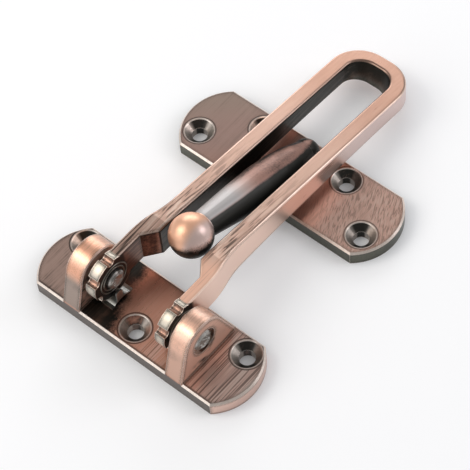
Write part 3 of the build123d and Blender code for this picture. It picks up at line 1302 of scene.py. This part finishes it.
@dataclass
class SwingBar(Casting):
    """Slotted bar on two notched hubs."""

    node: str = "swing_bar"
    wall_facing: Span = (0.75, 0.45)
    slot_half_width: float = 8.2
    slot_fade: Span = (0.5, 0.2)
    slot_y: Span = (15.0, 18.0)
    slot_facing_y: Span = (0.6, 0.3)
    slot_end: Point = (1.8, 109.8, 6.4)
    brink_shade: Span = (0.7, 0.28)
    end_wall_facing: Span = (0.25, 0.75)
    streaky_lines: Span = (0.50, 0.42)
    mouth_half_width: float = 12.2
    mouth_fade: Span = (0.3, 0.1)
    mouth_y: Span = (18.0, 15.0)
    hub_radius: float = 8.5
    hub_fade: Span = (0.35, 0.1)
    rim_fade: Span = (-0.9, -0.3)
    hub_y: Span = (5.0, 3.5)
    near_hub_y: Span = (70.0, 15.0)
    # Painted highlight on the right arm's top near its hub.
    right_hub_sheen_x: Span = (0.0, 4.0)
    right_hub_sheen_y: Span = (25.0, 15.0)
    # Painted shade: the bar's top darker towards the tip.
    tip_shade_y: Span = (70.0, 105.0)
    # Copper with a painted highlight on the outer walls near the hubs, fading out along the arms.
    sheen_fade_y: Span = (35.0, 95.0)
    end_light_heights: Span = (10.5, 5.5)
    rim_colour: Colour = (0.60, 0.54, 0.46)
    gunmetal: Colour = (0.10, 0.098, 0.088)
    outer_sheen_colour: Colour = (0.98, 0.72, 0.60)
    past_sheen_colour: Colour = (0.74, 0.58, 0.54)
    right_hub_sheen_colour: Colour = (1.0, 0.60, 0.44)
    top_colour: Colour = (0.61, 0.41, 0.33)
    tip_shade_colour: Colour = (0.44, 0.262, 0.195)
    end_wall_colour: Colour = (0.30, 0.31, 0.28)

    def brink_shade_line(self, s: CopperSurface) -> Signal:
        """Painted shade: the narrow dark line along the slot's upper edge.

        Args:
            s: the bar's surface.

        Returns:
            The mask.
        """
        corner_x, corner_y, corner_radius = self.slot_end
        past_x = s.graph.math("MAXIMUM", abs(s.x) - corner_x, 0.0)
        past_y = s.graph.math("MAXIMUM", s.y - corner_y, 0.0)
        off_slot = s.distance(past_x, past_y) - corner_radius
        return off_slot.ramp(*self.brink_shade) * s.y.ramp(*self.slot_y)

    def parts(self, s: CopperSurface) -> BarParts:
        """Finds the bar's parts on its surface.

        Args:
            s: the bar's surface.

        Returns:
            Their masks.
        """
        span = abs(s.x)
        wall = abs(s.facing_z).ramp(*self.wall_facing)
        inner = wall * span.step_at(self.slot_half_width, self.slot_fade)
        inner = inner * s.y.ramp(*self.slot_y) * s.facing_y.ramp(*self.slot_facing_y)
        mouth = wall * span.step_at(self.mouth_half_width, self.mouth_fade)
        mouth = mouth * s.y.ramp(*self.mouth_y)
        reach = s.distance(s.y - PIVOT_Y, s.z - PIVOT_Z)
        hub = reach.step_at(self.hub_radius, self.hub_fade) * s.y.ramp(*self.hub_y)
        side = abs(s.facing_x).ramp(*SIDEWAYS_FACING)
        return BarParts(
            wall=wall,
            inner=inner,
            end_wall=inner * abs(s.facing_y).ramp(*self.end_wall_facing),
            mouth=mouth,
            hub=hub,
            hub_side=hub * side,
            rim=hub * (1.0 - side) * reach.step_at(self.hub_radius, self.rim_fade),
            arm=1.0 - hub,
            near_hub=s.y.ramp(*self.near_hub_y),
            right_hub_sheen=s.x.ramp(*self.right_hub_sheen_x) * s.y.ramp(*self.right_hub_sheen_y) * (1.0 - hub),
        )

    def zones(self, s: CopperSurface, on: BarParts) -> list[Zone]:
        """What differs over the bar.

        Args:
            s: the bar's surface.
            on: its parts.

        Returns:
            The zones, in the order in which their colours are laid on.
        """
        # Painted highlight: outer walls bright pink near the hubs, duller towards the tip.
        outer_sheen_tint = s.graph.mix(s.y.ramp(*self.sheen_fade_y), self.outer_sheen_colour, self.past_sheen_colour)
        end_light = on.end_wall * s.z.ramp(*self.end_light_heights)
        return [
            Zone(s.upward, shown=on.arm * 0.8, rubbed=0.12),
            Zone(on.near_hub, streaks=0.65),
            Zone(
                on.wall * (1.0 - on.inner) * (1.0 - on.mouth),
                outer_sheen_tint,
                shown=on.arm,
                rubbed=0.2,
                streaks=-0.5,
                satin=on.near_hub * 0.9,
            ),
            Zone(on.hub_side, self.gunmetal, shown=1.0),
            Zone(on.rim, self.rim_colour, shown=1.0, rubbed=0.35, satin=0.6),
            # Painted highlight: bright pink on the right arm's top near its hub.
            Zone(on.right_hub_sheen * s.upward, self.right_hub_sheen_colour, satin=1.4),
            Zone(end_light, self.end_wall_colour, shown=1.0, rubbed=0.42),
            Zone(on.right_hub_sheen, rubbed=0.15, streaks=-0.5),
            Zone(on.hub, streaks=-0.3),
            Zone(on.hub - on.rim, rubbed=-0.2),
            Zone(on.inner, rubbed=-0.62),
            Zone(on.mouth, rubbed=-0.38),
        ]

    def paint(self) -> bpy.types.Material:
        """Pink copper on top and outside, dark in the slot, bare metal on the hub rims; painted highlights
        on the outer walls and near the right hub, painted shade towards the tip and along the slot's upper
        edge.

        Returns:
            The material.
        """
        s = self.finish.start()
        on = self.parts(s)
        # Painted shade along the slot's upper edge.
        brink_shade = self.brink_shade_line(s)
        lined = (1.0 - on.wall) * on.arm * (0.05 + on.near_hub * 0.95)
        streaky_walls = (on.inner - on.end_wall) * s.lines.ramp(*self.streaky_lines)
        outlined = (0.28 + on.near_hub * 0.55 + on.hub * 0.5).clamped()
        return s.dress(
            self.zones(s, on),
            # Painted shade: the top darker towards the tip, where the light falls off.
            ground=s.graph.mix(s.y.ramp(*self.tip_shade_y), self.top_colour, self.tip_shade_colour),
            rubbed=0.58,
            streaks=0.35,
            lined=lined * (1.0 - on.right_hub_sheen * 0.8),
            # Top edges and streaks on the slot walls painted light, for wear and as painted highlights.
            bare_lines_and_highlights=s.arris * on.arm * 0.6 + streaky_walls * 0.45,
            inked=s.outline * outlined * (1.0 - on.right_hub_sheen * 0.85) + brink_shade * 0.5,
            plain_edges=brink_shade * 0.9 | on.near_hub * on.arm * (1.0 - on.right_hub_sheen) * 0.6,
        )


# Rivet crowns and hub rings


@dataclass
class PivotRivets:
    """Peened crowns on both heads of each pivot rivet."""

    finish: Steel
    inner_head_x: float = 10.95
    outer_head_x: float = 24.5
    inner_radius: float = 3.0
    outer_radius: float = 3.15
    crown_height: float = 0.42
    dome_segments: int = 40
    dome_rings: int = 16
    ring_radius_share: float = 0.80
    ring_height_share: float = 0.55
    ring_thickness: float = 0.22
    thread_points: int = 8
    strike_count: int = 16
    strike_height_share: float = 0.86
    strike_length: float = 1.5
    strike_width: float = 0.34
    strike_area_shares: Span = (0.02, 0.36)
    strike_turns: Span = (0.3, 1.5)
    first_seed: int = 3
    seeds_per_side: int = 5

    def ringed_dome(self, r: Recipe) -> list[bpy.types.NodeSocket]:
        """A low dome and the ring around it.

        Args:
            r: the recipe that they belong to.

        Returns:
            Both geometries.
        """
        radius, height = r.size("Radius"), r.size("Height")
        ball = r.node(
            "GeometryNodeMeshUVSphere",
            inputs={"Segments": self.dome_segments, "Rings": self.dome_rings, "Radius": 1.0},
        )
        dome_scale = r.vector(radius, radius, height)
        dome = r.node("GeometryNodeTransform", inputs={"Geometry": ball, "Scale": dome_scale})
        circle = r.circle(self.dome_segments, r.math("MULTIPLY", radius, self.ring_radius_share))
        thread = r.circle(self.thread_points, self.ring_thickness * MM)
        ring = r.node(
            "GeometryNodeCurveToMesh",
            inputs={"Curve": circle, "Profile Curve": thread, "Fill Caps": True},
        )
        lift = r.vector(0.0, 0.0, r.math("MULTIPLY", height, self.ring_height_share))
        ring = r.node("GeometryNodeTransform", inputs={"Geometry": ring, "Translation": lift})
        return [dome, ring]

    def hammer_strikes(self, r: Recipe) -> bpy.types.NodeSocket:
        """Short ridges scattered over the dome's middle.

        Args:
            r: the recipe that they belong to.

        Returns:
            Their geometry.
        """
        turn = r.drawn((0.0, math.tau), 0)
        out = r.drawn(self.strike_area_shares, 7)
        reach = r.math("MULTIPLY", r.math("SQRT", out), r.size("Radius"))
        place = r.vector(
            r.math("MULTIPLY", r.math("COSINE", turn), reach),
            r.math("MULTIPLY", r.math("SINE", turn), reach),
            r.math("MULTIPLY", r.size("Height"), self.strike_height_share),
        )
        count = r.size("Strikes")
        points = r.node("GeometryNodePoints", inputs={"Count": count, "Position": place})
        spin = r.vector(0.0, 0.0, r.drawn(self.strike_turns, 13))
        ridge = r.node("GeometryNodeMeshIcoSphere", inputs={"Radius": 0.5, "Subdivisions": 2})
        sizes = (self.strike_length * MM, self.strike_width * MM, self.strike_width * MM)
        ridge = r.node("GeometryNodeTransform", inputs={"Geometry": ridge, "Scale": sizes})
        return r.node(
            "GeometryNodeInstanceOnPoints",
            inputs={"Points": points, "Instance": ridge, "Rotation": spin},
        )

    def recipe(self) -> Recipe:
        """A low dome with a ring and a scatter of short hammer strikes.

        Returns:
            The finished tree.
        """
        sizes = {
            "Radius": self.inner_radius * MM,
            "Height": self.crown_height * MM,
            "Strikes": self.strike_count,
            "Seed": 1,
        }
        r = Recipe("peened_crown", sizes)
        parts = [*self.ringed_dome(r), self.hammer_strikes(r)]
        r.finish(r.node("GeometryNodeJoinGeometry", inputs={0: parts}))
        return r

    def build(self) -> None:
        """Dresses the solids and puts a crown on each of the four heads."""
        material = self.finish.material()
        recipe = self.recipe()
        for side in Side:
            dress_node(f"pivot_rivet_{side.name.lower()}", material)
            for place, head_x, radius, outward in (
                ("inner", self.inner_head_x, self.inner_radius, -1),
                ("outer", self.outer_head_x, self.outer_radius, 1),
            ):
                values = {
                    "Radius": radius * MM,
                    "Seed": self.first_seed + outward + self.seeds_per_side * side.value,
                    "Rotation": (0.0, math.pi / 2 * outward * side.value, 0.0),
                    "Place": on_pivot(side, head_x),
                    "Finish": material,
                }
                crown = recipe.make(f"rivet_crown_{place}_{side.name.lower()}", values)
                attach(crown, Body.BASE)


@dataclass
class HubRings:
    """Turned rings on the side faces of the two hubs."""

    finish: Steel
    inner_face_x: float = 12.2
    outer_face_x: float = 16.1
    first_radius: float = 4.5
    spacing: float = 1.25
    count: int = 2
    thickness: float = 0.26
    ring_points: int = 56
    thread_points: int = 8

    def recipe(self) -> Recipe:
        """Round rings, each wider than the last by the spacing.

        Returns:
            The finished tree.
        """
        sizes = {
            "First Radius": self.first_radius * MM,
            "Spacing": self.spacing * MM,
            "Rings": self.count,
            "Thickness": self.thickness * MM,
        }
        r = Recipe("turned_rings", sizes)
        points = r.node("GeometryNodePoints", inputs={"Count": r.size("Rings")})
        step = r.math("MULTIPLY", r.node("GeometryNodeInputIndex"), r.size("Spacing"))
        reach = r.math("ADD", r.size("First Radius"), step)
        placing = {
            "Points": points,
            "Instance": r.circle(self.ring_points, 1.0),
            "Scale": r.vector(reach, reach, 1.0),
        }
        rings = r.node("GeometryNodeInstanceOnPoints", inputs=placing)
        lines = r.node("GeometryNodeRealizeInstances", inputs={"Geometry": rings})
        thread = r.circle(self.thread_points, r.size("Thickness"))
        r.finish(r.node("GeometryNodeCurveToMesh", inputs={"Curve": lines, "Profile Curve": thread}))
        return r

    def build(self) -> None:
        """Lays the rings on both faces of both hubs."""
        recipe = self.recipe()
        material = self.finish.material()
        for side in Side:
            for place, face_x in (("inner", self.inner_face_x), ("outer", self.outer_face_x)):
                values = {
                    "Rotation": (0.0, math.pi / 2, 0.0),
                    "Place": on_pivot(side, face_x),
                    "Finish": material,
                }
                rings = recipe.make(f"hub_rings_{place}_{side.name.lower()}", values)
                attach(rings, Body.BAR)


# Studio


@dataclass
class SoftBox:
    """A rectangular soft light that looks at the middle of the guard, sized in metres and watts."""

    name: str
    direction: Point
    distance: float
    size: tuple[float, float]
    power: float
    colour: Colour = (1.0, 1.0, 1.0)

    def build(self, target: Vector) -> None:
        """Hangs the light.

        Args:
            target: the point that it faces.
        """
        data = bpy.data.lights.new(self.name, "AREA")
        data.shape = "RECTANGLE"
        data.size, data.size_y = self.size
        data.energy = self.power
        data.color = self.colour
        lamp = bpy.data.objects.new(self.name, data)
        bpy.context.scene.collection.objects.link(lamp)
        away = Vector(self.direction).normalized()
        lamp.location = target + away * self.distance
        lamp.rotation_euler = away.to_track_quat("Z", "Y").to_euler()


@dataclass
class Studio:
    """Floor, soft light and camera. Places are in metres, and the lens is in millimetres."""

    target: Point = (0.0, 0.045, 0.01)
    floor_half_size: float = 3.0
    camera_place: Point = (0.25738, -0.21270, 0.54006)
    camera_forward: Point = (-0.3964, 0.3909, -0.8307)
    camera_right: Point = (0.7639, 0.6423, -0.0623)
    sensor_width: float = 36.0
    focal_length: float = 154.64
    near_clip: float = 0.01
    world_level: float = 0.5
    paper: StudioPaper = field(default_factory=StudioPaper)
    boxes: tuple[SoftBox, ...] = (
        SoftBox("key_box", (-0.535, -0.446, 0.708), 0.9, (0.48, 0.48), 2.8, (1.0, 0.95, 0.88)),
        SoftBox("rim_box", (0.60, 0.60, 0.55), 0.9, (0.42, 0.42), 1.6, (0.98, 0.96, 1.0)),
        SoftBox("back_box", (-0.62, 0.70, 0.42), 1.0, (0.8, 0.5), 3.6),
        SoftBox("front_box", (-0.40, -0.83, 0.39), 0.9, (0.8, 0.3), 0.9),
    )

    def build(self) -> None:
        """Makes the studio."""
        target = Vector(self.target)
        for box in self.boxes:
            box.build(target)
        self.build_floor()
        self.build_world()
        self.build_camera()
        bpy.context.scene.view_settings.view_transform = "Standard"

    def build_floor(self) -> None:
        """Lays the floor under the guard's back."""
        reach = self.floor_half_size
        low = CAD_BOUNDS[0][2]
        signs = ((-1, -1), (1, -1), (1, 1), (-1, 1))
        corners = [(x * reach, y * reach, low) for x, y in signs]
        mesh = bpy.data.meshes.new("floor")
        mesh.from_pydata(corners, [], [(0, 1, 2, 3)])
        mesh.materials.append(self.paper.material())
        floor = bpy.data.objects.new("floor", mesh)
        bpy.context.scene.collection.objects.link(floor)

    def build_world(self) -> None:
        """Fills the room with an even white that is brightest to the camera."""
        world = bpy.data.worlds.new("room")
        world.use_nodes = True
        bpy.context.scene.world = world
        tree = world.node_tree
        tree.nodes.clear()
        path = add_node(tree, "ShaderNodeLightPath")
        levels = {"Value": path.outputs["Is Camera Ray"], "To Min": self.world_level, "To Max": 1.0}
        level = add_node(tree, "ShaderNodeMapRange", inputs=levels)
        light = add_node(tree, "ShaderNodeBackground", inputs={"Strength": level.outputs[0]})
        add_node(tree, "ShaderNodeOutputWorld", inputs={"Surface": light.outputs[0]})

    def build_camera(self) -> None:
        """Sets the camera at the photograph's viewing angle."""
        data = bpy.data.cameras.new("camera")
        data.sensor_width = self.sensor_width
        data.lens = self.focal_length
        data.clip_start = self.near_clip
        camera = bpy.data.objects.new("camera", data)
        bpy.context.scene.collection.objects.link(camera)
        back = -Vector(self.camera_forward).normalized()
        right = Vector(self.camera_right)
        right = (right - right.dot(back) * back).normalized()
        turn = Matrix((right, back.cross(right), back)).transposed()
        camera.matrix_world = Matrix.Translation(self.camera_place) @ turn.to_4x4()
        bpy.context.scene.camera = camera


def main() -> None:
    """Builds the studio and dresses the guard, piece by piece."""
    logging.basicConfig(level=logging.INFO, format="%(message)s")
    Studio().build()
    HingeBase(AntiqueCopper("copper_base", lines=brush_lines(2350.0))).build()
    Keeper(AntiqueCopper("copper_keeper", lines=brush_lines(2300.0, 300.0, turn=0.42))).build()
    SwingBar(AntiqueCopper("copper_bar", wear_and_highlight=(0.98, 0.81, 0.69))).build()
    PivotRivets(Steel("rivet_finish", (0.70, 0.68, 0.64), (0.06, 0.057, 0.053))).build()
    HubRings(Steel("ring_finish", (0.40, 0.38, 0.33), (0.06, 0.057, 0.05))).build()
    spring = Steel("spring_finish", (0.50, 0.50, 0.48), (0.10, 0.10, 0.095)).material()
    for side in Side:
        dress_node(f"detent_spring_{side.name.lower()}", spring)


if __name__ == "__main__":
    main()
